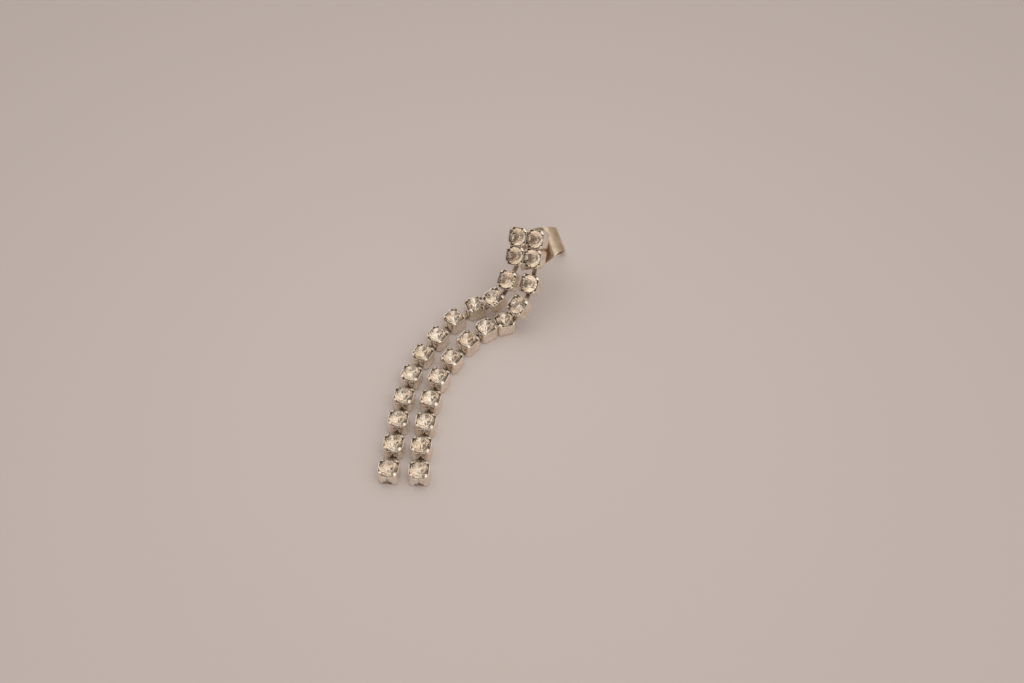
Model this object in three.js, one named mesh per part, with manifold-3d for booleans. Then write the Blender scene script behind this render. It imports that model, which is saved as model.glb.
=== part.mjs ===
// A linear drop earring of cup chain, lying on a flat surface.
//
// Four stones in square cups are soldered into a cluster of two by two. A straight ear post stands
// on its back, and a butterfly clutch grips the post. From the two lower cups of the cluster hang two
// strands of cup chain, eleven cups each, which drop to the surface and run on along it face up.
//
// Units are millimetres and +Z is up. The surface is z = 0, and the origin lies on it, under the
// middle of the whole earring.

import * as THREE from 'three';
import { mergeVertices } from 'three/addons/utils/BufferGeometryUtils.js';
import Module from 'manifold-3d';

const wasm = await Module();
wasm.setup();

// ---------------------------------------------------------------------------------------------
// Driving dimensions
// ---------------------------------------------------------------------------------------------

const CUP = {
  width: 2.65,          // across the square, over its walls
  corner: 0.6,          // radius of its upright corners
  height: 2.1,          // of the two smooth side walls
  endHeight: 1.72,      // of the two end walls, which are cut lower
  floor: 0.25,          // thickness of its bottom
  bore: 2.38,           // diameter of the hollow that the stone sits in
  prongRise: 0.38,      // of the corner prongs above the side walls
  prongGap: 1.45,       // between two prongs, along a wall
  slotWidth: 1.25,      // of the low opening in an end wall that a link passes through
  slotHeight: 0.5,
};

const STONE = {
  girdle: 2.2,          // diameter at the widest place
  table: 1.25,          // diameter of the flat top
  girdleHeight: 1.92,   // of the girdle's lower edge over the cup's bottom face
  band: 0.12,           // height of the upright girdle
  crown: 0.55,          // from the girdle to the table
  pavilion: 1.1,        // from the girdle down to the point
  facets: 12,
};

const LINK = {
  width: 0.62,
  thickness: 0.3,
  height: 0.35,         // of its middle over the cup's bottom face
  reach: 0.55,          // how far it goes into a cup, from the outside of the end wall
  gap: 0.3,             // left between the uppermost link and the cluster
};

const PAD = { baseDiameter: 2.0, tipDiameter: 1.1, depth: 0.95, sides: 16 };
const POST = { diameter: 0.8, length: 11.1, sides: 16 };

const CLUTCH = {
  setback: 1.3,         // from the back of the cluster to the plate
  turn: 32,             // about the post, degrees, right-hand end up
  sheet: 0.35,          // thickness of the strip
  plateWidth: 5.2,      // of the strip at the post
  tipWidth: 3.5,        // of the strip at its two outer bends
  curlMiddle: 2.05,     // from the post's axis to the middle of a curl
  curlAcross: 1.3,      // half the size of a curl along the plate
  curlDeep: 1.7,        // half the size of a curl along the post
  curlEnd: 290,         // degrees that a curl turns, from the plate past the post and back
  curlSteps: 18,
  hole: 1.1,            // diameter of the hole for the post
};

// The middle of a stone's face stands this far over the bottom face of its cup.
const FACE_HEIGHT = 2.4;

// The cluster: where the middle of its face is, which way its lower edge points, how steeply that
// direction falls, and how far the face leans to the left, in degrees.
const CLUSTER = { x: 1.55, y: 8.45, z: 10.12, heading: -101.5, slope: 44.8, lean: 17 };

// The two strands, from the cluster to the free end. A hanging cup is placed in the same way as the
// cluster. A lying cup stands level on the surface, in line with its neighbours, so it has only the
// x and y of its middle.
const STRANDS = {
  left: {
    hanging: [
      { x: -0.9, y: 6.0, z: 6.4, heading: -110, slope: 34, lean: 8 },
      { x: -2.7, y: 4.9, z: 4.2, heading: -145, slope: 18, lean: -3 },
    ],
    lying: [
      [-5.2, 5.25], [-8.1, 2.85], [-10.3, -0.35], [-12.2, -3.55], [-13.6, -7.15],
      [-14.4, -10.95], [-14.9, -14.75], [-15.3, -18.65], [-15.7, -22.55],
    ],
  },
  right: {
    hanging: [
      { x: 2.2, y: 5.05, z: 6.5, heading: -112, slope: 38, lean: 2 },
      { x: 0.55, y: 2.5, z: 5.1, heading: -132, slope: 30, lean: 2 },
    ],
    lying: [
      [-1.0, 2.35], [-3.6, 1.1], [-6.1, -1.25], [-8.2, -4.35], [-9.9, -7.65],
      [-10.8, -11.35], [-11.3, -15.15], [-11.7, -18.95], [-11.8, -22.85],
    ],
  },
};

// ---------------------------------------------------------------------------------------------
// Materials
// ---------------------------------------------------------------------------------------------

const silverPlate = (name) => new THREE.MeshStandardMaterial({
  name, color: 0xc9b9a8, roughness: 0.28, metalness: 1.0,
});

const cutGlass = (name) => new THREE.MeshStandardMaterial({
  name, color: 0xb7a692, roughness: 0.05, metalness: 0.35,
});

// ---------------------------------------------------------------------------------------------
// Solids
// ---------------------------------------------------------------------------------------------

const UP = new THREE.Vector3(0, 0, 1);

/** A closed geometry as a solid that can be cut and joined. */
function solidOf(geometry) {
  const bare = geometry.clone();
  bare.deleteAttribute('normal');
  bare.deleteAttribute('uv');
  const merged = mergeVertices(bare, 1e-5);
  return new wasm.Manifold(new wasm.Mesh({
    numProp: 3,
    vertProperties: new Float32Array(merged.attributes.position.array),
    triVerts: new Uint32Array(merged.index.array),
  }));
}

/** A solid as a geometry again. */
function geometryOf(solid) {
  const mesh = solid.getMesh();
  const geometry = new THREE.BufferGeometry();
  geometry.setAttribute('position', new THREE.BufferAttribute(mesh.vertProperties, 3));
  geometry.setIndex(new THREE.BufferAttribute(mesh.triVerts, 1));
  geometry.computeVertexNormals();
  return geometry;
}

/** A box between two heights, centred on x = y = 0. */
function block(sizeX, sizeY, low, high) {
  const box = new THREE.BoxGeometry(sizeX, sizeY, high - low);
  return solidOf(box.translate(0, 0, (low + high) / 2));
}

/** An upright round or tapered bar between two heights, on the z axis. */
function bar(lowDiameter, highDiameter, low, high, sides) {
  const round = new THREE.CylinderGeometry(highDiameter / 2, lowDiameter / 2, high - low, sides);
  return solidOf(round.rotateX(Math.PI / 2).translate(0, 0, (low + high) / 2));
}

/** A square with rounded corners, as an outline. */
function roundedSquare(width, corner) {
  const reach = width / 2 - corner;
  const outline = new THREE.Shape();
  outline.absarc(reach, reach, corner, 0, Math.PI / 2);
  outline.absarc(-reach, reach, corner, Math.PI / 2, Math.PI);
  outline.absarc(-reach, -reach, corner, Math.PI, Math.PI * 1.5);
  outline.absarc(reach, -reach, corner, Math.PI * 1.5, Math.PI * 2);
  return outline;
}

/** One cup, its bottom on z = 0: y runs down the chain and x across it, to the left of its face. */
function makeCup() {
  const top = CUP.height + CUP.prongRise;
  const beyond = CUP.width + 1;
  const shell = solidOf(new THREE.ExtrudeGeometry(roundedSquare(CUP.width, CUP.corner), {
    depth: top, bevelEnabled: false, curveSegments: 2,
  }));
  const hollow = bar(CUP.bore, CUP.bore, CUP.floor, top + 1, STONE.facets);
  const overSides = block(beyond, CUP.prongGap, CUP.height, top + 1);
  const overEnds = block(CUP.prongGap, beyond, CUP.endHeight, top + 1);
  const linkWay = block(CUP.slotWidth, beyond, CUP.floor, CUP.floor + CUP.slotHeight);
  return shell.subtract(hollow).subtract(overSides).subtract(overEnds).subtract(linkWay);
}

/** One faceted stone in its place over the bottom of a cup that stands on z = 0. */
function makeStone() {
  const girdleTop = STONE.girdleHeight + STONE.band;
  const profile = [
    new THREE.Vector2(0, STONE.girdleHeight - STONE.pavilion),
    new THREE.Vector2(STONE.girdle / 2, STONE.girdleHeight),
    new THREE.Vector2(STONE.girdle / 2, girdleTop),
    new THREE.Vector2(STONE.table / 2, girdleTop + STONE.crown),
    new THREE.Vector2(0, girdleTop + STONE.crown),
  ];
  return new THREE.LatheGeometry(profile, STONE.facets).rotateX(Math.PI / 2);
}

/** A flat bar between two points, its broad face turned towards a normal. */
function makeLink(from, to, normal) {
  const along = to.clone().sub(from);
  const length = along.length();
  along.normalize();
  const across = along.clone().cross(normal).normalize();
  const face = across.clone().cross(along);
  const place = new THREE.Matrix4().makeBasis(across, along, face);
  place.setPosition(from.clone().add(to).multiplyScalar(0.5));
  return solidOf(new THREE.BoxGeometry(LINK.width, length, LINK.thickness).applyMatrix4(place));
}

// ---------------------------------------------------------------------------------------------
// Places
// ---------------------------------------------------------------------------------------------

/** The place of a cup: its face's middle, the line of the chain, and its lean about that line. */
function seat(middle, line, lean) {
  const along = line.clone().normalize();
  const normal = UP.clone().addScaledVector(along, -UP.dot(along)).normalize();
  normal.applyAxisAngle(along, THREE.MathUtils.degToRad(lean));
  const across = along.clone().cross(normal);
  const place = new THREE.Matrix4().makeBasis(across, along, normal);
  return place.setPosition(middle.clone().addScaledVector(normal, -FACE_HEIGHT));
}

/** The direction with a heading, from +X, and a slope below the level, in degrees. */
function direction(heading, slope) {
  const turn = THREE.MathUtils.degToRad(heading);
  const fall = THREE.MathUtils.degToRad(slope);
  return new THREE.Vector3(
    Math.cos(turn) * Math.cos(fall), Math.sin(turn) * Math.cos(fall), -Math.sin(fall));
}

const clusterPlace = seat(
  new THREE.Vector3(CLUSTER.x, CLUSTER.y, CLUSTER.z),
  direction(CLUSTER.heading, CLUSTER.slope),
  CLUSTER.lean,
);

/** The place of a cup in the cluster: column and row are -1 or 1, and row 1 is the lower one. */
function clusterSeat(column, row) {
  const offset = new THREE.Matrix4().makeTranslation(
    column * CUP.width / 2, row * CUP.width / 2, 0);
  return clusterPlace.clone().multiply(offset);
}

/** The places of a strand's cups, from the cluster to the free end. */
function strandSeats({ hanging, lying }) {
  const hung = hanging.map(({ x, y, z, heading, slope, lean }) => (
    seat(new THREE.Vector3(x, y, z), direction(heading, slope), lean)));
  const last = hanging[hanging.length - 1];
  const laid = lying.map(([x, y], i) => {
    const [beforeX, beforeY] = i === 0 ? [last.x, last.y] : lying[i - 1];
    const [afterX, afterY] = lying[Math.min(i + 1, lying.length - 1)];
    const line = new THREE.Vector3(afterX - beforeX, afterY - beforeY, 0);
    return seat(new THREE.Vector3(x, y, FACE_HEIGHT), line, 0);
  });
  return [...hung, ...laid];
}

// ---------------------------------------------------------------------------------------------
// Pieces
// ---------------------------------------------------------------------------------------------

const cup = makeCup();
const stone = makeStone();
const earring = new THREE.Group();

/** Adds a piece to the earring. */
function addPiece(name, geometry, material, place = new THREE.Matrix4()) {
  const mesh = new THREE.Mesh(geometry, material);
  mesh.name = name;
  mesh.applyMatrix4(place);
  earring.add(mesh);
}

/** The cluster's four cups, the solder pad on their back and the ear post, as one solid. */
function makeSetting() {
  const overlap = 0.1;
  const cups = [[-1, -1], [1, -1], [-1, 1], [1, 1]].map(([column, row]) => {
    const half = CUP.width / 2;
    return cup.translate([column * half, row * half, 0]);
  });
  const solder = block(CUP.width, CUP.width, 0, CUP.floor);
  const pad = bar(PAD.tipDiameter, PAD.baseDiameter, -PAD.depth, overlap, PAD.sides);
  const tip = -PAD.depth - POST.length;
  const post = bar(POST.diameter, POST.diameter, tip, overlap, POST.sides);
  return wasm.Manifold.union([...cups, solder, pad, post]);
}

addPiece('cluster_setting', geometryOf(makeSetting()), silverPlate('silver'), clusterPlace);

/** One strand: its cups and the links between them, joined along the chain. */
function makeStrand(seats, column) {
  const inside = CUP.width / 2 - LINK.reach;
  const outside = CUP.width / 2 + LINK.gap;
  const links = seats.map((place, i) => {
    const previous = i === 0 ? clusterSeat(column, 1) : seats[i - 1];
    const start = i === 0 ? outside : inside;
    const from = new THREE.Vector3(0, start, LINK.height).applyMatrix4(previous);
    const to = new THREE.Vector3(0, -inside, LINK.height).applyMatrix4(place);
    const normal = new THREE.Vector3().setFromMatrixColumn(previous, 2);
    normal.add(new THREE.Vector3().setFromMatrixColumn(place, 2));
    return makeLink(from, to, normal);
  });
  const cups = seats.map((place) => cup.transform(place.elements));
  return wasm.Manifold.union([...cups, ...links]);
}

for (const [side, column] of [['left', 1], ['right', -1]]) {
  const seats = strandSeats(STRANDS[side]);
  addPiece(`strand_${side}`, geometryOf(makeStrand(seats, column)), silverPlate('silver'));
  seats.forEach((place, i) => {
    const number = String(i + 1).padStart(2, '0');
    addPiece(`stone_${side}_${number}`, stone, cutGlass('glass'), place);
  });
  for (const [rowName, row] of [['upper', -1], ['lower', 1]]) {
    addPiece(`stone_cluster_${rowName}_${side}`, stone, cutGlass('glass'), clusterSeat(column, row));
  }
}

/** The middle line of the clutch's strip, from one curl's end over the plate to the other's. */
function clutchLine() {
  const curl = [];
  for (let step = 0; step <= CLUTCH.curlSteps; step += 1) {
    const angle = THREE.MathUtils.degToRad(-90 + (CLUTCH.curlEnd * step) / CLUTCH.curlSteps);
    curl.push(new THREE.Vector2(
      CLUTCH.curlMiddle + CLUTCH.curlAcross * Math.cos(angle),
      CLUTCH.curlDeep + CLUTCH.curlDeep * Math.sin(angle)));
  }
  const mirrored = curl.map((point) => new THREE.Vector2(-point.x, point.y));
  return [...mirrored.reverse(), ...curl];
}

/** The outline of a strip of even thickness along a line of points. */
function stripOutline(line, thickness) {
  const offset = (side) => line.map((point, i) => {
    const before = line[Math.max(i - 1, 0)];
    const after = line[Math.min(i + 1, line.length - 1)];
    const along = after.clone().sub(before).normalize();
    return new THREE.Vector2(-along.y, along.x).multiplyScalar((side * thickness) / 2).add(point);
  });
  return new THREE.Shape([...offset(-1), ...offset(1).reverse()]);
}

/** The clutch, in a frame with x along its plate, y across the strip and z along the post. */
function makeClutch() {
  const strip = new THREE.ExtrudeGeometry(stripOutline(clutchLine(), CLUTCH.sheet), {
    depth: CLUTCH.plateWidth, bevelEnabled: false,
  });
  strip.translate(0, 0, -CLUTCH.plateWidth / 2).rotateX(Math.PI / 2);
  const end = CLUTCH.curlMiddle + CLUTCH.curlAcross + CLUTCH.sheet;
  const wide = CLUTCH.plateWidth / 2;
  const narrow = CLUTCH.tipWidth / 2;
  const flat = CLUTCH.curlMiddle / 2;
  const taper = new THREE.Shape([
    [-end, -narrow], [-flat, -wide], [flat, -wide], [end, -narrow],
    [end, narrow], [flat, wide], [-flat, wide], [-end, narrow],
  ].map(([x, y]) => new THREE.Vector2(x, y)));
  const deep = 2 * CLUTCH.curlDeep + CLUTCH.sheet;
  const blank = new THREE.ExtrudeGeometry(taper, { depth: 2 * deep, bevelEnabled: false });
  blank.translate(0, 0, -deep);
  const hole = bar(CLUTCH.hole, CLUTCH.hole, -CLUTCH.sheet, CLUTCH.sheet, POST.sides);
  return solidOf(strip).intersect(solidOf(blank)).subtract(hole);
}

const clutchPlace = clusterPlace.clone()
  .multiply(new THREE.Matrix4().makeTranslation(0, 0, -CLUTCH.setback))
  .multiply(new THREE.Matrix4().makeRotationZ(THREE.MathUtils.degToRad(CLUTCH.turn)))
  .multiply(new THREE.Matrix4().makeRotationX(Math.PI));
addPiece('butterfly_clutch', geometryOf(makeClutch()), silverPlate('silver'), clutchPlace);

// The origin goes on the surface, under the middle of the earring.
const box = new THREE.Box3().setFromObject(earring, true);
const centre = box.getCenter(new THREE.Vector3());
earring.position.set(-centre.x, -centre.y, 0);

export default earring;
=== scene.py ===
# %% [markdown]
# # A drop earring of cup chain, lying on a pale surface
#
# The earring is made of small square cups of silver-plated brass, each with a round cut stone held
# under four prongs. Four cups are soldered into a cluster that carries the ear post and its clutch,
# and two strands of eleven cups hang from it. The CAD model fixes where every cup, stone, post and
# clutch is. These cells put finely made pieces in the same places and give them their finish.

# %% Load the frame
import math
import random

import bmesh
import bpy
from mathutils import Matrix, Vector


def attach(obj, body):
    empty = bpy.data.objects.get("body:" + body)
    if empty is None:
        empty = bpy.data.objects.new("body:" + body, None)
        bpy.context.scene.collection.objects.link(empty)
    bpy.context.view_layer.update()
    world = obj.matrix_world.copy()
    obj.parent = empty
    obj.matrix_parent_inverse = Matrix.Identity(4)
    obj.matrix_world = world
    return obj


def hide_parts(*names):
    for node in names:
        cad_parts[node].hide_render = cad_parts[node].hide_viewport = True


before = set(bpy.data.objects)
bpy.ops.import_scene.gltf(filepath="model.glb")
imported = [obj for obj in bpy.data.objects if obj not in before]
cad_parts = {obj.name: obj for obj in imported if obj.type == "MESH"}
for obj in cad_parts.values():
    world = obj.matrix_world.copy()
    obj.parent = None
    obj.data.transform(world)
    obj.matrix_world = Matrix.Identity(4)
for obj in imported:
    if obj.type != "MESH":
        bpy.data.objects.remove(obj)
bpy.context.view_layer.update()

MM = 0.001  # the frame is in metres
CHANCE = random.Random(7)

# %% [markdown]
# ## Where the cups are
#
# Every cup holds one stone, so the stones tell where the cups are. A stone's table, the flat top, is
# the only one of its faces that is made of many triangles with one normal, and it lies square to the
# cup's upright axis at a known height over its bottom. How a cup is turned about that axis shows in
# its own walls: the two smooth ones are taller than the two at its ends, so they have more area.
# Reading the places from the frame keeps this script and the CAD in step.

# %% Read a cup's place from its stone
TABLE_HEIGHT = 2.59  # of a stone's table over the bottom of its cup, in mm
WIDTH = 2.65         # of a cup, over its walls
CUP_REACH = 2.12     # no wall of a cup is further than this from the cup's middle
CLOSE = 0.01         # how far off a wall may stand, and the same for its normal


def table_of(name):
    """The middle and the normal of a stone's table, the flat face with the most triangles."""
    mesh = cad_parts[name].data
    groups = {}
    for face in mesh.polygons:
        groups.setdefault(tuple(round(c, 2) for c in face.normal), []).append(face)
    table = max(groups.values(), key=len)
    normal = sum((face.normal for face in table), Vector()).normalized()
    corners = {
        tuple(round(c, 7) for c in mesh.vertices[v].co) for face in table for v in face.vertices
    }
    return sum((Vector(c) for c in corners), Vector()) / len(corners), normal


def across_of(mesh, middle, normal):
    """The direction that the smooth side walls face, of the cup whose stone has this table."""
    areas = {}
    for face in mesh.polygons:
        away = face.center - middle
        beside = (away - away.dot(normal) * normal).length < CUP_REACH * MM
        upright = abs(face.normal.dot(normal)) < CLOSE
        outermost = abs(face.normal.dot(away) - WIDTH / 2 * MM) < CLOSE * MM
        if beside and upright and outermost:
            side = tuple(round(c, 1) for c in face.normal)
            area, total = areas.get(side, (0, Vector()))
            areas[side] = (area + face.area, total + face.normal * face.area)
    return max(areas.values(), key=lambda entry: entry[0])[1].normalized()


def place_of(middle, normal, line):
    """The place of a cup: x across the chain to the left, y down the chain and z out of its face."""
    down = (line - line.dot(normal) * normal).normalized()
    place = Matrix((down.cross(normal), down, normal)).transposed().to_4x4()
    place.translation = middle - normal * TABLE_HEIGHT * MM
    return place


# %% Find the places of the cluster and the two strands
CUPS_IN_STRAND = 11
SIDES = ("left", "right")
tables = {name: table_of(name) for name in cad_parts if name.startswith("stone_")}

cluster_places = {}
for side in SIDES:
    upper, lower = (tables[f"stone_cluster_{row}_{side}"] for row in ("upper", "lower"))
    for row, table in (("upper", upper), ("lower", lower)):
        cluster_places[f"{row}_{side}"] = place_of(*table, lower[0] - upper[0])

strand_places = {}
for side in SIDES:
    chain = [tables[f"stone_cluster_lower_{side}"]]
    chain += [tables[f"stone_{side}_{i:02d}"] for i in range(1, CUPS_IN_STRAND + 1)]
    strand_places[side] = []
    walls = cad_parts[f"strand_{side}"].data
    for i in range(1, CUPS_IN_STRAND + 1):
        middle, normal = chain[i]
        onward = chain[min(i + 1, CUPS_IN_STRAND)][0] - chain[i - 1][0]
        down = across_of(walls, middle, normal).cross(normal)
        strand_places[side].append(place_of(middle, normal, down if down.dot(onward) > 0 else -down))

cluster = cluster_places["upper_left"].copy()
cluster.translation = sum((p.translation for p in cluster_places.values()), Vector()) / 4
print("middle of the cluster's back in mm:", [round(c / MM, 2) for c in cluster.translation])


# %% [markdown]
# ## Working in millimetres
#
# Blender's operators weld and clear up at distances that suit objects about a metre across. So each
# pattern is modelled with one unit to the millimetre, and it shrinks to its real size in metres as
# it is put in its place. These helpers pick vertices, edges or faces by where they are, as a hand
# would by clicking on them, and send a finished pattern to its place.

# %% Select, copy and place
def only(*objects):
    """Makes these the only selected objects, the first one active."""
    bpy.ops.object.select_all(action="DESELECT")
    for o in objects:
        o.select_set(True)
    bpy.context.view_layer.objects.active = objects[0]


def pick(piece, kind, test):
    """In edit mode, selects only the vertices, edges or faces whose middle passes the test."""
    bpy.ops.mesh.select_mode(type=kind)
    bpy.ops.mesh.select_all(action="DESELECT")
    mesh = bmesh.from_edit_mesh(piece.data)
    parts = {"VERT": mesh.verts, "EDGE": mesh.edges, "FACE": mesh.faces}[kind]
    picked = 0
    for part in parts:
        corners = [part] if kind == "VERT" else part.verts
        middle = sum((v.co for v in corners), Vector()) / len(corners)
        if test(middle, part):
            part.select_set(True)
            picked += 1
    mesh.select_flush_mode()
    bmesh.update_edit_mesh(piece.data)
    return picked


def begin(name):
    """Names the new primitive, applies its place and size, and goes into edit mode."""
    piece = bpy.context.object
    piece.name = name
    bpy.ops.object.transform_apply(location=True, rotation=True, scale=True)
    bpy.ops.object.mode_set(mode="EDIT")
    return piece


def modify(piece, kind, **settings):
    """Adds a modifier and applies it at once."""
    only(piece)
    modifier = piece.modifiers.new(kind.lower(), kind)
    for key, value in settings.items():
        setattr(modifier, key, value)
    bpy.ops.object.modifier_apply(modifier=modifier.name)


def copy_to(pattern, name, place):
    """A copy of a pattern in millimetres, shrunk to its real size at its place in the frame."""
    piece = pattern.copy()
    piece.data = pattern.data.copy()
    piece.name = name
    bpy.context.scene.collection.objects.link(piece)
    piece.matrix_world = place @ Matrix.Scale(MM, 4)
    only(piece)
    bpy.ops.object.transform_apply(location=True, rotation=True, scale=True)
    return piece


def join(name, pieces):
    """Several pieces as one."""
    only(*pieces)
    bpy.ops.object.join()
    piece = bpy.context.object
    piece.name = name
    return piece


# %% [markdown]
# ## The cup
#
# A real cup is stamped from thin sheet as a cross and folded up. Two of its walls are smooth, and
# the other two, at the ends along the chain, are pairs of flaps that meet in a seam over the
# opening for the link. So it is modelled as sheet too: a box without a lid, its corners rounded, the
# opening and the seam cut out of the end walls, and thickness added last. That gives clean rims and
# one even wall, where a block hollowed out would need every inner face moved by hand.

# %% Fold up the cup's walls
CORNER = 0.6         # radius of a cup's upright corners
SIDE_HEIGHT = 1.97   # of the smooth side walls
END_HEIGHT = 1.72    # of the end walls
FLOOR_BEND = 0.22    # radius of the bend from the floor into the walls
TINY = 0.001

bpy.ops.object.select_all(action="DESELECT")
bpy.ops.mesh.primitive_cube_add(
    size=1, location=(0, 0, SIDE_HEIGHT / 2), scale=(WIDTH, WIDTH, SIDE_HEIGHT))
cup = begin("cup_pattern")
pick(cup, "EDGE", lambda at, edge: abs(edge.verts[0].co.z - edge.verts[1].co.z) > TINY)
bpy.ops.mesh.bevel(offset=CORNER, segments=6, affect="EDGES")
pick(cup, "FACE", lambda at, face: face.normal.z > 0.9)
bpy.ops.mesh.delete(type="FACE")
pick(cup, "EDGE", lambda at, edge: all(v.co.z < TINY for v in edge.verts))
bpy.ops.mesh.bevel(offset=FLOOR_BEND, segments=3, affect="EDGES")
print("cup walls:", len(bmesh.from_edit_mesh(cup.data).faces), "faces")

# %% Rule the lines of the opening, the seam and the prongs on it
SEAM_HALF = 0.05     # half the gap between the two flaps of an end wall
OPENING_HALF = 0.6   # half the width of the opening for the link
OPENING_LOW, OPENING_MIDDLE, OPENING_TOP = 0.24, 0.62, 0.9  # heights of its steps
SEAM_START = 1.15    # where the opening has narrowed to the plain seam
PRONG_HALF_GAP = 0.725  # from the middle of a wall to the prongs at its corners


def rule(piece, point, normal):
    """Cuts a line round the piece where a plane meets it."""
    bpy.ops.mesh.select_all(action="SELECT")
    bpy.ops.mesh.bisect(plane_co=point, plane_no=normal, threshold=TINY / 10)


for across in (-OPENING_HALF, -SEAM_HALF, SEAM_HALF, OPENING_HALF):
    rule(cup, (across, 0, 0), (1, 0, 0))
for height in (OPENING_LOW, OPENING_MIDDLE, OPENING_TOP, SEAM_START, END_HEIGHT):
    rule(cup, (0, 0, height), (0, 0, 1))
print("ruled cup:", len(bmesh.from_edit_mesh(cup.data).faces), "faces")

# %% Cut the end walls
END_WALL = WIDTH / 2 - TINY
NARROWING = (        # height, half the opening's width there
    (OPENING_MIDDLE, 0.34),
    (OPENING_TOP, 0.12),
    (SEAM_START, 0.06),
)


def in_seam(at, face):
    return abs(at.y) > END_WALL and abs(at.x) < SEAM_HALF and at.z > OPENING_LOW


def in_opening(at, face):
    return abs(at.y) > END_WALL and abs(at.x) < OPENING_HALF and OPENING_LOW < at.z < OPENING_MIDDLE


def over_end(at, face):
    return abs(at.y) > END_WALL and abs(at.x) < PRONG_HALF_GAP and at.z > END_HEIGHT


pick(cup, "FACE", lambda at, face: in_seam(at, face) or in_opening(at, face) or over_end(at, face))
bpy.ops.mesh.delete(type="FACE")
for height, half in NARROWING:
    pick(cup, "VERT", lambda at, v: abs(at.y) > END_WALL and abs(at.z - height) < TINY
         and abs(at.x) < SEAM_HALF + TINY)
    bpy.ops.transform.resize(value=(half / SEAM_HALF, 1, 1), center_override=(0, 0, 0))
print("cut cup:", len(bmesh.from_edit_mesh(cup.data).faces), "faces")

# %% [markdown]
# ## The prongs
#
# The four corners of the cup rise over the side walls and are pressed inwards on to the stone. Each
# is drawn out of its corner's rim in four short steps, narrower and further over the stone every
# time, as a jeweller's pusher bends it.

# %% Draw out the prongs
PRONG_STEPS = (      # inwards, upwards, and the share of its width that is kept
    (0.05, 0.09, 0.74),
    (0.12, 0.08, 0.68),
    (0.14, 0.05, 0.62),
    (0.10, 0.00, 0.52),
)
for sx in (-1, 1):
    for sy in (-1, 1):
        inward = Vector((-sx, -sy, 0)).normalized()
        reach = WIDTH / 2 - CORNER * (1 - math.sqrt(0.5))
        tip = Vector((sx * reach, sy * reach, SIDE_HEIGHT))
        pick(cup, "EDGE", lambda at, edge: at.x * sx > PRONG_HALF_GAP and at.y * sy > PRONG_HALF_GAP
             and all(v.co.z > SIDE_HEIGHT - TINY for v in edge.verts))
        for inwards, upwards, share in PRONG_STEPS:
            move = inward * inwards + Vector((0, 0, upwards))
            tip += move
            bpy.ops.mesh.extrude_edges_move(TRANSFORM_OT_translate={"value": move})
            bpy.ops.transform.resize(value=(share, share, 1), center_override=tip)
bpy.ops.object.mode_set(mode="OBJECT")
print("cup with prongs:", len(cup.data.polygons), "faces")

# %% Thicken and round the sheet
WALL = 0.09          # thickness of the sheet
ROUNDED = 0.02       # radius of its cut edges

modify(cup, "SOLIDIFY", thickness=WALL, offset=-1, use_even_offset=True)
modify(cup, "BEVEL", width=ROUNDED, segments=2, limit_method="ANGLE", angle_limit=math.radians(50))
bpy.ops.object.shade_smooth_by_angle(angle=math.radians(38))
print("finished cup:", len(cup.data.polygons), "faces")

# %% [markdown]
# ## The link
#
# The cups hang on short flat bars of the same metal, which pass through the openings of two
# neighbours. A box with rounded edges and a swollen end inside each cup is enough, because only the
# stretch between the cups ever shows. Where a strand hangs from the cluster, that stretch is long.

# %% Model the link
LINK_WIDTH, LINK_THICK, LINK_HEIGHT = 0.62, 0.3, 0.35
LINK_REACH = 0.55    # how far a link goes into a cup
SWELL_FROM = 0.36    # where its swollen end begins, as a share of its length from its middle
SWELL_ACROSS, SWELL_UP = 1.5, 1.1
LINK_ROUNDED = 0.07  # radius of its edges

bpy.ops.object.select_all(action="DESELECT")
bpy.ops.mesh.primitive_cube_add(size=1, scale=(LINK_WIDTH, 1, LINK_THICK))
link = begin("link_pattern")
for along in (-SWELL_FROM, SWELL_FROM):
    rule(link, (0, along, 0), (0, 1, 0))
pick(link, "VERT", lambda at, v: abs(at.y) > SWELL_FROM + TINY)
bpy.ops.transform.resize(value=(SWELL_ACROSS, 1, SWELL_UP), center_override=(0, 0, 0))
bpy.ops.object.mode_set(mode="OBJECT")
modify(
    link, "BEVEL", width=LINK_ROUNDED, segments=3, limit_method="ANGLE", angle_limit=math.radians(30))
bpy.ops.object.shade_smooth_by_angle(angle=math.radians(40))
print("link:", len(link.data.polygons), "faces")

# %% [markdown]
# ## The stone
#
# A cut stone is a convex body whose facets follow from its corners alone. So rings of corners are
# laid out at their heights, and the convex hull draws the facets between them: a flat table, sixteen
# facets from it down to the thin girdle, and the same again below, down to the blunt point. The hull
# joins neighbouring triangles where they nearly lie in a plane, so half of those facets have four
# corners and are bent a little. Cheap stones as small as these have few facets, and few facets mean
# broad flashes of light instead of a fine glitter. The back is foiled on the real stones, so the
# faces below the girdle get a mirror of their own.

# %% Lay out the rings and draw the facets
GIRDLE = 1.21        # radius at the widest place
TABLE = 0.66         # radius of the table's corners
GIRDLE_LOW, GIRDLE_HIGH = 1.92, 2.04
POINT_HEIGHT = 0.87
POINT = 0.12         # radius of the blunt point's corners
rings = (            # corners, radius, height
    (8, TABLE, TABLE_HEIGHT),
    (16, GIRDLE, GIRDLE_HIGH),
    (16, GIRDLE, GIRDLE_LOW),
    (8, POINT, POINT_HEIGHT),
)
bpy.ops.object.select_all(action="DESELECT")
corners, radius, height = rings[0]
bpy.ops.mesh.primitive_circle_add(vertices=corners, radius=radius, location=(0, 0, height))
stone = begin("stone_pattern")
for corners, radius, height in rings[1:]:
    bpy.ops.mesh.primitive_circle_add(vertices=corners, radius=radius, location=(0, 0, height))
bpy.ops.mesh.select_all(action="SELECT")
bpy.ops.mesh.convex_hull()
bpy.ops.mesh.dissolve_limited(angle_limit=math.radians(0.6))
bpy.ops.object.mode_set(mode="OBJECT")
print("stone:", len(stone.data.polygons), "facets")

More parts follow.
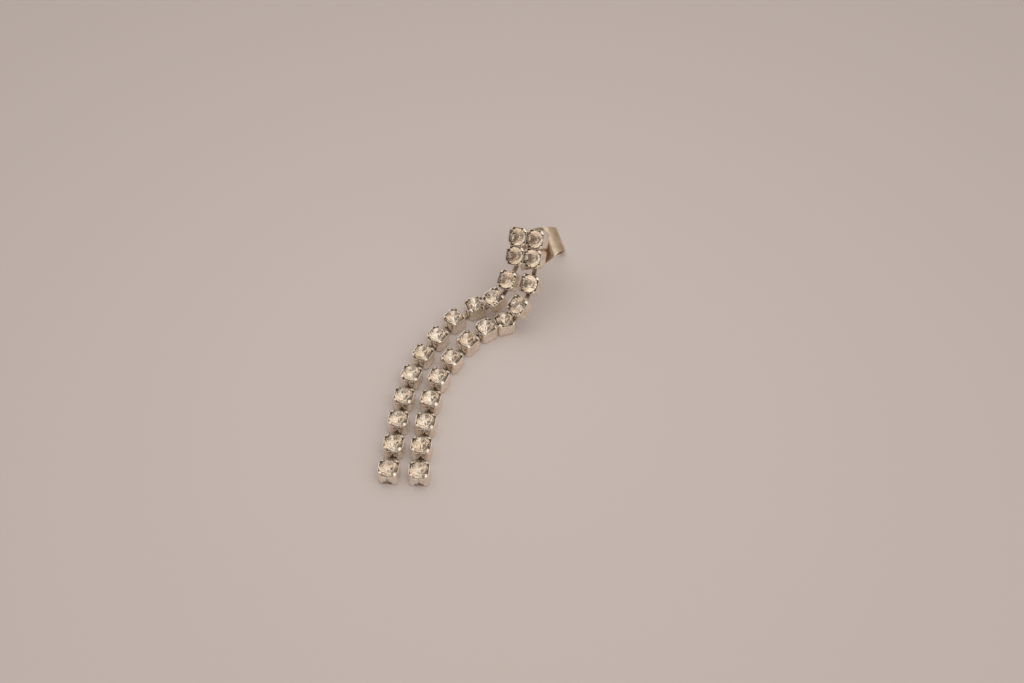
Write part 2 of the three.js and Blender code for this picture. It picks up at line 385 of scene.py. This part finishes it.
# %% [markdown]
# ## The solder pad and the ear post
#
# The post is a plain wire with a rounded end. It stands in a cone of solder on the cluster's back,
# which flows out thin between the cups and climbs a little way up the wire. One disc is drawn out
# ring by ring along the post, each ring at its own radius, and a bevel rounds the end.

# %% Draw out the pad and the post
POST_RADIUS = 0.4
POST_END = 12.05     # behind the cluster's back
POST_ROUNDED = 0.16  # radius of the edge of its end
SIDES_ROUND = 32
PAD_RADIUS, PAD_START = 1.75, -0.06  # of the solder's rim, which lies just inside the cups' floors
PAD_RINGS = (        # radius, depth behind the cluster's back
    (1.5, 0.03), (1.22, 0.1), (1.02, 0.17), (0.93, 0.32), (0.83, 0.5), (0.72, 0.68),
    (0.6, 0.84), (0.5, 0.97), (0.43, 1.15), (POST_RADIUS, 1.4), (POST_RADIUS, POST_END),
)

bpy.ops.object.select_all(action="DESELECT")
bpy.ops.mesh.primitive_circle_add(
    vertices=SIDES_ROUND, radius=PAD_RADIUS, location=(0, 0, -PAD_START), fill_type="NGON")
post = begin("post_pattern")
radius, depth = PAD_RADIUS, PAD_START
bpy.ops.mesh.select_all(action="SELECT")
for next_radius, next_depth in PAD_RINGS:
    bpy.ops.mesh.extrude_region_move(
        TRANSFORM_OT_translate={"value": (0, 0, depth - next_depth)})
    grow = next_radius / radius
    bpy.ops.transform.resize(value=(grow, grow, 1), center_override=(0, 0, -next_depth))
    radius, depth = next_radius, next_depth
bpy.ops.mesh.select_all(action="SELECT")
bpy.ops.mesh.normals_make_consistent(inside=False)
pick(post, "EDGE", lambda at, edge: all(v.co.z < TINY - POST_END for v in edge.verts))
bpy.ops.mesh.bevel(offset=POST_ROUNDED, segments=4, affect="EDGES")
bpy.ops.object.mode_set(mode="OBJECT")
bpy.ops.object.shade_smooth_by_angle(angle=math.radians(40))
print("pad and post:", len(post.data.polygons), "faces")

# %% [markdown]
# ## The solder between the cups
#
# The cups' corners are rounded, so four of them leave a small hole where they meet. On the real
# earring solder has run into it. A stub with eight sides fills the hole almost to the cups' rims, and
# its top is inset and raised into a low dome. Nothing finer would show between the prongs.

# %% Fill the middle of the cluster
SOLDER_HIGH = 1.7    # over the cluster's back
SOLDER_RADIUS = 0.42
DOME_INSET, DOME_RISE = 0.16, 0.08  # how far the dome's top lies in from the stub's edge and over it

bpy.ops.object.select_all(action="DESELECT")
bpy.ops.mesh.primitive_cylinder_add(
    vertices=8, radius=SOLDER_RADIUS, depth=SOLDER_HIGH, location=(0, 0, SOLDER_HIGH / 2))
solder = begin("solder_pattern")
pick(solder, "FACE", lambda at, face: face.normal.z > 0.9)
bpy.ops.mesh.inset(thickness=DOME_INSET, depth=DOME_RISE)
bpy.ops.object.mode_set(mode="OBJECT")
print("solder:", len(solder.data.polygons), "faces")

# %% [markdown]
# ## The clutch
#
# A butterfly clutch is one strip of spring brass. Its middle is a plate with a hole for the post,
# and both ends are curled back so that they press on the post from two sides. The strip is widest at
# the plate and narrows towards its ends. So a plate is laid out flat, its two short edges are spun
# into the curls, and each row of the strip is then drawn in to its width.

# %% Lay out the plate and spin the curls
CLUTCH_BACK = 1.3    # from the cluster's back to the plate
CLUTCH_TURN = math.radians(32)  # about the post
PLATE_HALF = 2.05    # from the post to where a curl begins
PLATE_WIDTH = 5.2    # of the strip at the post
CURL_ACROSS, CURL_DEEP = 1.3, 1.7  # half the size of a curl, along the plate and along the post
CURL_TURN = math.radians(285)
CURL_STEPS, PLATE_STEPS = 34, 24

bpy.ops.object.select_all(action="DESELECT")
bpy.ops.mesh.primitive_grid_add(x_subdivisions=PLATE_STEPS, y_subdivisions=PLATE_STEPS, size=1)
clutch = begin("clutch_pattern")
bpy.ops.transform.resize(value=(2 * PLATE_HALF, PLATE_WIDTH, 1), center_override=(0, 0, 0))
for side in (-1, 1):
    pick(clutch, "EDGE", lambda at, edge: at.x * side > PLATE_HALF - TINY and abs(at.z) < TINY)
    bpy.ops.mesh.spin(
        steps=CURL_STEPS, angle=side * CURL_TURN, center=(side * PLATE_HALF, 0, CURL_DEEP),
        axis=(0, 1, 0), use_auto_merge=False)
for side in (-1, 1):
    pick(clutch, "VERT", lambda at, v: at.x * side > 0 and at.z > TINY)
    bpy.ops.transform.resize(
        value=(CURL_ACROSS / CURL_DEEP, 1, 1), center_override=(side * PLATE_HALF, 0, 0))
bpy.ops.mesh.select_all(action="SELECT")
bpy.ops.mesh.normals_make_consistent(inside=False)
bpy.ops.object.mode_set(mode="OBJECT")
print("clutch strip in mm:", [round(d, 2) for d in clutch.dimensions])

# %% Draw the strip in towards its ends
BEND_WIDTH = 3.6     # at the outer bend of a curl
END_WIDTH = 2.9
TAPER_FROM = 0.8     # distance from the post along the plate at which the strip starts to narrow
FLAT = PLATE_HALF - TAPER_FROM
TO_BEND = FLAT + math.pi / 2 * (CURL_ACROSS + CURL_DEEP) / 2
TO_END = FLAT + CURL_TURN * (CURL_ACROSS + CURL_DEEP) / 2


def strip_width(along):
    """The strip's width at a distance along it from where it starts to narrow."""
    if along < TO_BEND:
        share = along / TO_BEND
        return PLATE_WIDTH + (BEND_WIDTH - PLATE_WIDTH) * share * share * (3 - 2 * share)
    return BEND_WIDTH + (END_WIDTH - BEND_WIDTH) * (along - TO_BEND) / (TO_END - TO_BEND)


bpy.ops.object.mode_set(mode="EDIT")
for side in (-1, 1):
    rows = []
    for column in range(PLATE_STEPS + 1):
        x = (column / PLATE_STEPS * 2 - 1) * PLATE_HALF
        if x * side > TAPER_FROM:
            rows.append((x, 0, x * side - TAPER_FROM))
    for step in range(1, CURL_STEPS + 1):
        angle = CURL_TURN * step / CURL_STEPS
        x = side * (PLATE_HALF + CURL_ACROSS * math.sin(angle))
        z = CURL_DEEP * (1 - math.cos(angle))
        rows.append((x, z, FLAT + (TO_END - FLAT) * step / CURL_STEPS))
    for x, z, along in rows:
        pick(clutch, "VERT", lambda at, v: math.hypot(at.x - x, at.z - z) < 10 * TINY)
        bpy.ops.transform.resize(
            value=(1, strip_width(along) / PLATE_WIDTH, 1), center_override=(x, 0, z))
bpy.ops.object.mode_set(mode="OBJECT")
print("strip's length from the post to its end in mm:", round(TAPER_FROM + TO_END, 2))

# %% [markdown]
# ## The dents and the hole of the clutch
#
# The press that cuts the strip leaves a dent near each corner of the plate, which stiffens it, and
# pushes up a lip round the hole, which leads the post in. Moving a few vertices with proportional
# editing carries their neighbours along, so a dent gets soft sides as pressed sheet does. Only then
# is the sheet given its thickness and the hole cut through it.

# %% Press the dents, thicken the sheet and pierce the hole
SHEET = 0.28         # thickness of the strip
SHEET_ROUNDED = 0.05  # radius of its edges
HOLE_RADIUS = 0.5
DENT_ALONG, DENT_ACROSS = 1.28, 1.35  # from the hole to the middle of a dent
DENT_HALF_LONG, DENT_HALF_WIDE = 0.12, 0.3
DENT_DEPTH, LIP_HEIGHT, LIP_RADIUS = 0.2, 0.16, 0.62
DENT_SOFT, LIP_SOFT = 0.42, 0.4  # how far each carries the sheet round it along
PLATE_ZONE = 0.1     # the plate's own vertices are no further than this from its plane

bpy.ops.object.mode_set(mode="EDIT")
for side in (-1, 1):
    for end in (-1, 1):
        pick(clutch, "VERT", lambda at, v: abs(at.z) < PLATE_ZONE
             and abs(at.x - side * DENT_ALONG) < DENT_HALF_LONG
             and abs(at.y - end * DENT_ACROSS) < DENT_HALF_WIDE)
        bpy.ops.transform.translate(
            value=(0, 0, DENT_DEPTH), use_proportional_edit=True, proportional_size=DENT_SOFT,
            proportional_edit_falloff="SMOOTH")
pick(clutch, "VERT", lambda at, v: abs(at.z) < PLATE_ZONE and math.hypot(at.x, at.y) < LIP_RADIUS)
bpy.ops.transform.translate(
    value=(0, 0, LIP_HEIGHT), use_proportional_edit=True, proportional_size=LIP_SOFT,
    proportional_edit_falloff="SMOOTH")
bpy.ops.object.mode_set(mode="OBJECT")
modify(clutch, "SOLIDIFY", thickness=SHEET, offset=0, use_even_offset=True)
bpy.ops.object.select_all(action="DESELECT")
bpy.ops.mesh.primitive_cylinder_add(vertices=32, radius=HOLE_RADIUS, depth=2)
drill = bpy.context.object
modify(clutch, "BOOLEAN", operation="DIFFERENCE", object=drill, solver="EXACT")
bpy.data.objects.remove(drill)
modify(
    clutch, "BEVEL", width=SHEET_ROUNDED, segments=2, limit_method="ANGLE",
    angle_limit=math.radians(50))
bpy.ops.object.shade_smooth_by_angle(angle=math.radians(40))
print("clutch:", len(clutch.data.polygons), "faces")


# %% [markdown]
# ## Silver plate
#
# The metal is bright plating over brass. It mirrors what is round it, so most of its colour comes
# from the pale surface below. What is its own is a faint warm cast, a slight cloudiness where it has
# been handled, an uneven gloss, and a soft unevenness from the stamping, which breaks up reflections
# that would otherwise look drawn with a ruler. The clutch is handled most, so its plating is worn:
# the same finish between two duller, browner colours.

# %% Make the silver plate
def new_material(name):
    """An empty node material with its output and one Principled shader joined."""
    material = bpy.data.materials.new(name)
    material.use_nodes = True
    tree = material.node_tree
    tree.nodes.clear()
    shader = tree.nodes.new("ShaderNodeBsdfPrincipled")
    output = tree.nodes.new("ShaderNodeOutputMaterial")
    tree.links.new(shader.outputs["BSDF"], output.inputs["Surface"])
    return material, tree, shader


def noise(tree, size, detail=3.0, roughness=0.5):
    """Noise on Object coordinates, with features about size millimetres across."""
    place = tree.nodes.new("ShaderNodeTexCoord")
    texture = tree.nodes.new("ShaderNodeTexNoise")
    texture.inputs["Scale"].default_value = 1 / (size * MM)
    texture.inputs["Detail"].default_value = detail
    texture.inputs["Roughness"].default_value = roughness
    tree.links.new(place.outputs["Object"], texture.inputs["Vector"])
    return texture.outputs["Fac"]


def ramp(tree, value, *stops):
    """A colour ramp with stops of (position, colour)."""
    node = tree.nodes.new("ShaderNodeValToRGB")
    tree.links.new(value, node.inputs["Fac"])
    while len(node.color_ramp.elements) < len(stops):
        node.color_ramp.elements.new(0.5)
    for element, (position, colour) in zip(node.color_ramp.elements, stops):
        element.position = position
        element.color = (*colour, 1)
    return node.outputs["Color"]


def remap(tree, value, low, high, to_low, to_high):
    """A value between low and high as one between to_low and to_high."""
    node = tree.nodes.new("ShaderNodeMapRange")
    for socket, number in zip(("From Min", "From Max", "To Min", "To Max"),
                              (low, high, to_low, to_high)):
        node.inputs[socket].default_value = number
    tree.links.new(value, node.inputs["Value"])
    return node.outputs["Result"]


def bump(tree, shader, height, depth, strength):
    """Joins a height to the shader's normal as relief, depth in millimetres."""
    node = tree.nodes.new("ShaderNodeBump")
    node.inputs["Strength"].default_value = strength
    node.inputs["Distance"].default_value = depth * MM
    tree.links.new(height, node.inputs["Height"])
    tree.links.new(node.outputs["Normal"], shader.inputs["Normal"])


def plating(name, dull, bright):
    """Cloudy plating between two colours, with uneven gloss and a faint hammering from the press."""
    material, tree, shader = new_material(name)
    shader.inputs["Metallic"].default_value = 0.88
    tree.links.new(
        ramp(tree, noise(tree, 1.4, detail=4), (0.35, dull), (0.6, bright)),
        shader.inputs["Base Color"])
    tree.links.new(remap(tree, noise(tree, 0.6), 0.3, 0.7, 0.18, 0.34), shader.inputs["Roughness"])
    bump(tree, shader, noise(tree, 0.35, detail=2), 0.02, 0.5)
    return material


silver = plating("silver_plate", (0.81, 0.69, 0.57), (0.93, 0.84, 0.74))
worn_silver = plating("worn_plate", (0.52, 0.39, 0.28), (0.68, 0.55, 0.42))
print("made:", silver.name, worn_silver.name)

# %% [markdown]
# ## Tarnish and painted shade
#
# Polish reaches neither the links, deep between the cups, nor the solder. Both stay dull and go
# brown, and their brown is made darker than tarnish alone as painted shade, which draws the thin
# dark lines between one cup and the next where shade falls. A rougher metal between a dark and a
# light brown gives that, and it needs no relief, because so little of it shows.

# %% Make the dull brown metal, tarnish with painted shade
tarnish_and_shade, tree, shader = new_material("tarnish_and_shade_plate")
shader.inputs["Metallic"].default_value = 1.0
# Its browns are partly tarnish and partly painted shade: the dark lines between the cups.
tree.links.new(
    ramp(tree, noise(tree, 0.9), (0.35, (0.38, 0.28, 0.20)), (0.65, (0.62, 0.52, 0.42))),
    shader.inputs["Base Color"])
shader.inputs["Roughness"].default_value = 0.35
print("made:", tarnish_and_shade.name)

# %% [markdown]
# ## Glass and foil
#
# Each stone is clear glass, faintly champagne, with a mirror foil and lacquer on its back. Light
# goes in through the crown, is thrown back by the foil and comes out again, broken up by the facets.
# Giving the crown a glass shader and the faces of the back a metal one lets the renderer follow the
# same path, which no painted pattern would match from every side.

# %% Make the glass and the foil
glass, tree, shader = new_material("champagne_glass")
shader.inputs["Transmission Weight"].default_value = 1.0
shader.inputs["IOR"].default_value = 1.54
shader.inputs["Roughness"].default_value = 0.0
shader.inputs["Base Color"].default_value = (0.97, 0.95, 0.925, 1)

foil, tree, shader = new_material("stone_foil")
shader.inputs["Metallic"].default_value = 1.0
tree.links.new(
    ramp(tree, noise(tree, 0.8), (0.35, (0.80, 0.68, 0.56)), (0.65, (0.98, 0.925, 0.85))),
    shader.inputs["Base Color"])
shader.inputs["Roughness"].default_value = 0.13
print("made:", glass.name, foil.name)

# %% Give the patterns their finish
FOILED = -0.05       # a facet is foiled if its normal points further down than this

# The links and the solder take the brown metal that carries painted shade between the cups.
metals = (cup, silver), (link, tarnish_and_shade), (solder, tarnish_and_shade), (post, silver), (clutch, worn_silver)
for pattern, metal in metals:
    pattern.data.materials.append(metal)
stone.data.materials.append(glass)
stone.data.materials.append(foil)
for facet in stone.data.polygons:
    facet.material_index = 1 if facet.normal.z < FOILED else 0
print("foiled facets:", sum(facet.material_index for facet in stone.data.polygons))

# %% [markdown]
# ## Put the earring together
#
# Every cup gets its own copy of the pattern at its place. The links run between the floors of
# neighbouring cups. Stones are never set exactly alike, so each one is turned about its own axis and
# tipped by a degree or two, and that alone makes every stone sparkle in its own way.

# %% Set the cups and the links
def link_place(start, end):
    """The place of a link between two cups: its middle, its direction and its length in mm."""
    inside = WIDTH / 2 - LINK_REACH
    a = start @ (Vector((0, inside, LINK_HEIGHT)) * MM)
    b = end @ (Vector((0, -inside, LINK_HEIGHT)) * MM)
    along = (b - a).normalized()
    normal = start.to_3x3().col[2] + end.to_3x3().col[2]
    across = along.cross(normal).normalized()
    place = Matrix((across, along, across.cross(along))).transposed().to_4x4()
    place.translation = (a + b) / 2
    return place @ Matrix.Scale((b - a).length / MM, 4, (0, 1, 0))


def finish_piece(piece, body, slot, *nodes):
    """Says which body a piece rides on and hides the CAD nodes it stands for. The slot is not used.
    """
    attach(piece, body)
    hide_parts(*nodes)


cups = [copy_to(cup, f"cup_{name}", place) for name, place in cluster_places.items()]
cups.append(copy_to(solder, "solder", cluster))
finish_piece(join("cluster_cups", cups), "earring", "silver", "cluster_setting")

for side in SIDES:
    metal = []
    before = cluster_places[f"lower_{side}"]
    for place in strand_places[side]:
        metal.append(copy_to(cup, "cup", place))
        metal.append(copy_to(link, "link", link_place(before, place)))
        before = place
    strand = join(f"chain_{side}", metal)
    finish_piece(strand, "earring", "silver", f"strand_{side}")
    print(strand.name, len(strand.data.polygons), "faces")

# %% Set the stones
TIP = math.radians(2.0)  # how far a stone may be tipped in its cup


def set_stone(name, place):
    """A copy of the stone in its cup, turned and slightly tipped."""
    turn = Matrix.Rotation(CHANCE.uniform(0, math.tau), 4, "Z")
    seat = Matrix.Translation((0, 0, GIRDLE_LOW * MM))
    tip = Matrix.Rotation(CHANCE.uniform(-TIP, TIP), 4, "X") @ Matrix.Rotation(
        CHANCE.uniform(-TIP, TIP), 4, "Y")
    piece = copy_to(stone, name.replace("stone", "cut_stone"),
                    place @ seat @ tip @ seat.inverted() @ turn)
    finish_piece(piece, "earring", "stone", name)


for name, place in cluster_places.items():
    set_stone(f"stone_cluster_{name}", place)
for side in SIDES:
    for i, place in enumerate(strand_places[side], start=1):
        set_stone(f"stone_{side}_{i:02d}", place)
print("stones set:", len(tables))

# %% Fit the post and the clutch
finish_piece(copy_to(post, "ear_post", cluster), "earring", "silver", "cluster_setting")
clutch_place = (cluster @ Matrix.Translation((0, 0, -CLUTCH_BACK * MM))
                @ Matrix.Rotation(CLUTCH_TURN, 4, "Z") @ Matrix.Rotation(math.pi, 4, "X"))
finish_piece(copy_to(clutch, "clutch_strip", clutch_place), "clutch", "silver", "butterfly_clutch")
for pattern in (cup, link, stone, solder, post, clutch):
    bpy.data.objects.remove(pattern)
print("clutch's plate in mm:", [round(c / MM, 2) for c in clutch_place.translation])

# %% [markdown]
# ## The surface, the light and the camera
#
# The earring lies on a pale, warm, matt surface. Most of its light comes from the room itself, which
# is brightest overhead and dimmer and warmer towards the horizon, with a dark side at the front left,
# as where people stand. Plating and foil show little of their own and much of what is round them, so
# this gradient gives the walls their beige and the stones their contrast, where an even white room
# would turn both to chalk. A broad faint light from the back left adds a soft shadow, a fill light
# from the front right keeps it pale, and a small light adds the glints. At the horizon the room is
# only a little darker than the surface, so the edge between them stays faint from low down.

# %% Lay the surface
PAINTED_POOL_RADIUS = 0.13          # radius of the painted pool of light, the lighter middle of the surface, in metres

bpy.ops.object.select_all(action="DESELECT")
bpy.ops.mesh.primitive_plane_add(size=30, location=(0, 0, 0))
surface = bpy.context.object
surface.name = "surface"
paper, tree, shader = new_material("pale_surface")
reading = tree.nodes.new("ShaderNodeTexCoord")
widen = tree.nodes.new("ShaderNodeMapping")
widen.inputs["Scale"].default_value = (1 / PAINTED_POOL_RADIUS, 1 / PAINTED_POOL_RADIUS, 1)
tree.links.new(reading.outputs["Object"], widen.inputs["Vector"])
# The surface's colour is lighter towards its middle and darker further out: a painted pool of light.
gradient = tree.nodes.new("ShaderNodeTexGradient")
gradient.gradient_type = "SPHERICAL"
tree.links.new(widen.outputs["Vector"], gradient.inputs["Vector"])
tree.links.new(
    ramp(tree, gradient.outputs["Fac"], (0.0, (0.57, 0.51, 0.49)), (1.0, (0.70, 0.63, 0.61))),
    shader.inputs["Base Color"])
shader.inputs["Roughness"].default_value = 0.75
shader.inputs["Specular IOR Level"].default_value = 0.25
surface.data.materials.append(paper)
print("surface:", [round(side, 1) for side in surface.dimensions], "m")

# %% Light it
def area_light(name, place, size, power, colour):
    """A square soft light at a place, in metres, turned towards the earring."""
    data = bpy.data.lights.new(name, "AREA")
    data.size, data.energy, data.color = size, power, colour
    lamp = bpy.data.objects.new(name, data)
    lamp.location = place
    lamp.rotation_euler = (-Vector(place)).to_track_quat("-Z", "Y").to_euler()
    bpy.context.scene.collection.objects.link(lamp)


area_light("soft_light", (-0.35, 0.30, 0.60), size=0.90, power=0.10, colour=(1.0, 0.97, 0.94))
area_light("fill_light", (0.25, -0.40, 0.35), size=0.70, power=0.80, colour=(1.0, 0.96, 0.92))
area_light("small_light", (-0.30, 0.12, 0.62), size=0.12, power=0.045, colour=(1.0, 0.98, 0.95))
print("lights:", len(bpy.data.lights))

# %% Put the room round it
DARK_SIDE = (-0.45, -0.62, 0.643)  # the direction of the middle of the room's dark side
ROOM_STRENGTH = 1.28

world = bpy.data.worlds.new("room")
world.use_nodes = True
tree = world.node_tree
background = tree.nodes["Background"]
view = tree.nodes.new("ShaderNodeTexCoord")
split = tree.nodes.new("ShaderNodeSeparateXYZ")
tree.links.new(view.outputs["Generated"], split.inputs["Vector"])
room = ramp(
    tree, split.outputs["Z"], (0.0, (0.32, 0.27, 0.245)), (0.45, (0.45, 0.40, 0.35)),
    (0.7, (0.60, 0.57, 0.53)), (1.0, (0.84, 0.82, 0.79)))
nearness = tree.nodes.new("ShaderNodeVectorMath")
nearness.operation = "DOT_PRODUCT"
nearness.inputs[1].default_value = DARK_SIDE
tree.links.new(view.outputs["Generated"], nearness.inputs[0])
shade = ramp(tree, nearness.outputs["Value"], (0.82, (1, 1, 1)), (0.93, (0.27, 0.235, 0.22)))
darken = tree.nodes.new("ShaderNodeMix")
darken.data_type, darken.blend_type = "RGBA", "MULTIPLY"
darken.inputs["Factor"].default_value = 1.0  # both colours count in full
tree.links.new(room, darken.inputs["A"])
tree.links.new(shade, darken.inputs["B"])
tree.links.new(darken.outputs["Result"], background.inputs["Color"])
background.inputs["Strength"].default_value = ROOM_STRENGTH
bpy.context.scene.world = world
bpy.context.scene.view_settings.view_transform = "Standard"
print("room:", world.name, "at strength", ROOM_STRENGTH)

# %% Set up the camera
LENS = 43.95         # focal length in mm
SENSOR = 36
DISTANCE = 0.1748    # from the point it looks at, in metres
ELEVATION = math.radians(50)
target = Vector((4.551, 3.363, 0)) * MM

camera = bpy.data.objects.new("camera", bpy.data.cameras.new("camera"))
camera.data.lens, camera.data.sensor_width = LENS, SENSOR
camera.data.clip_start, camera.data.clip_end = 0.01, 10
camera.location = target + DISTANCE * Vector((0, -math.cos(ELEVATION), math.sin(ELEVATION)))
camera.rotation_euler = (math.pi / 2 - ELEVATION, 0, 0)
bpy.context.scene.collection.objects.link(camera)
bpy.context.scene.camera = camera
print("camera at in mm:", [round(c / MM, 1) for c in camera.location])
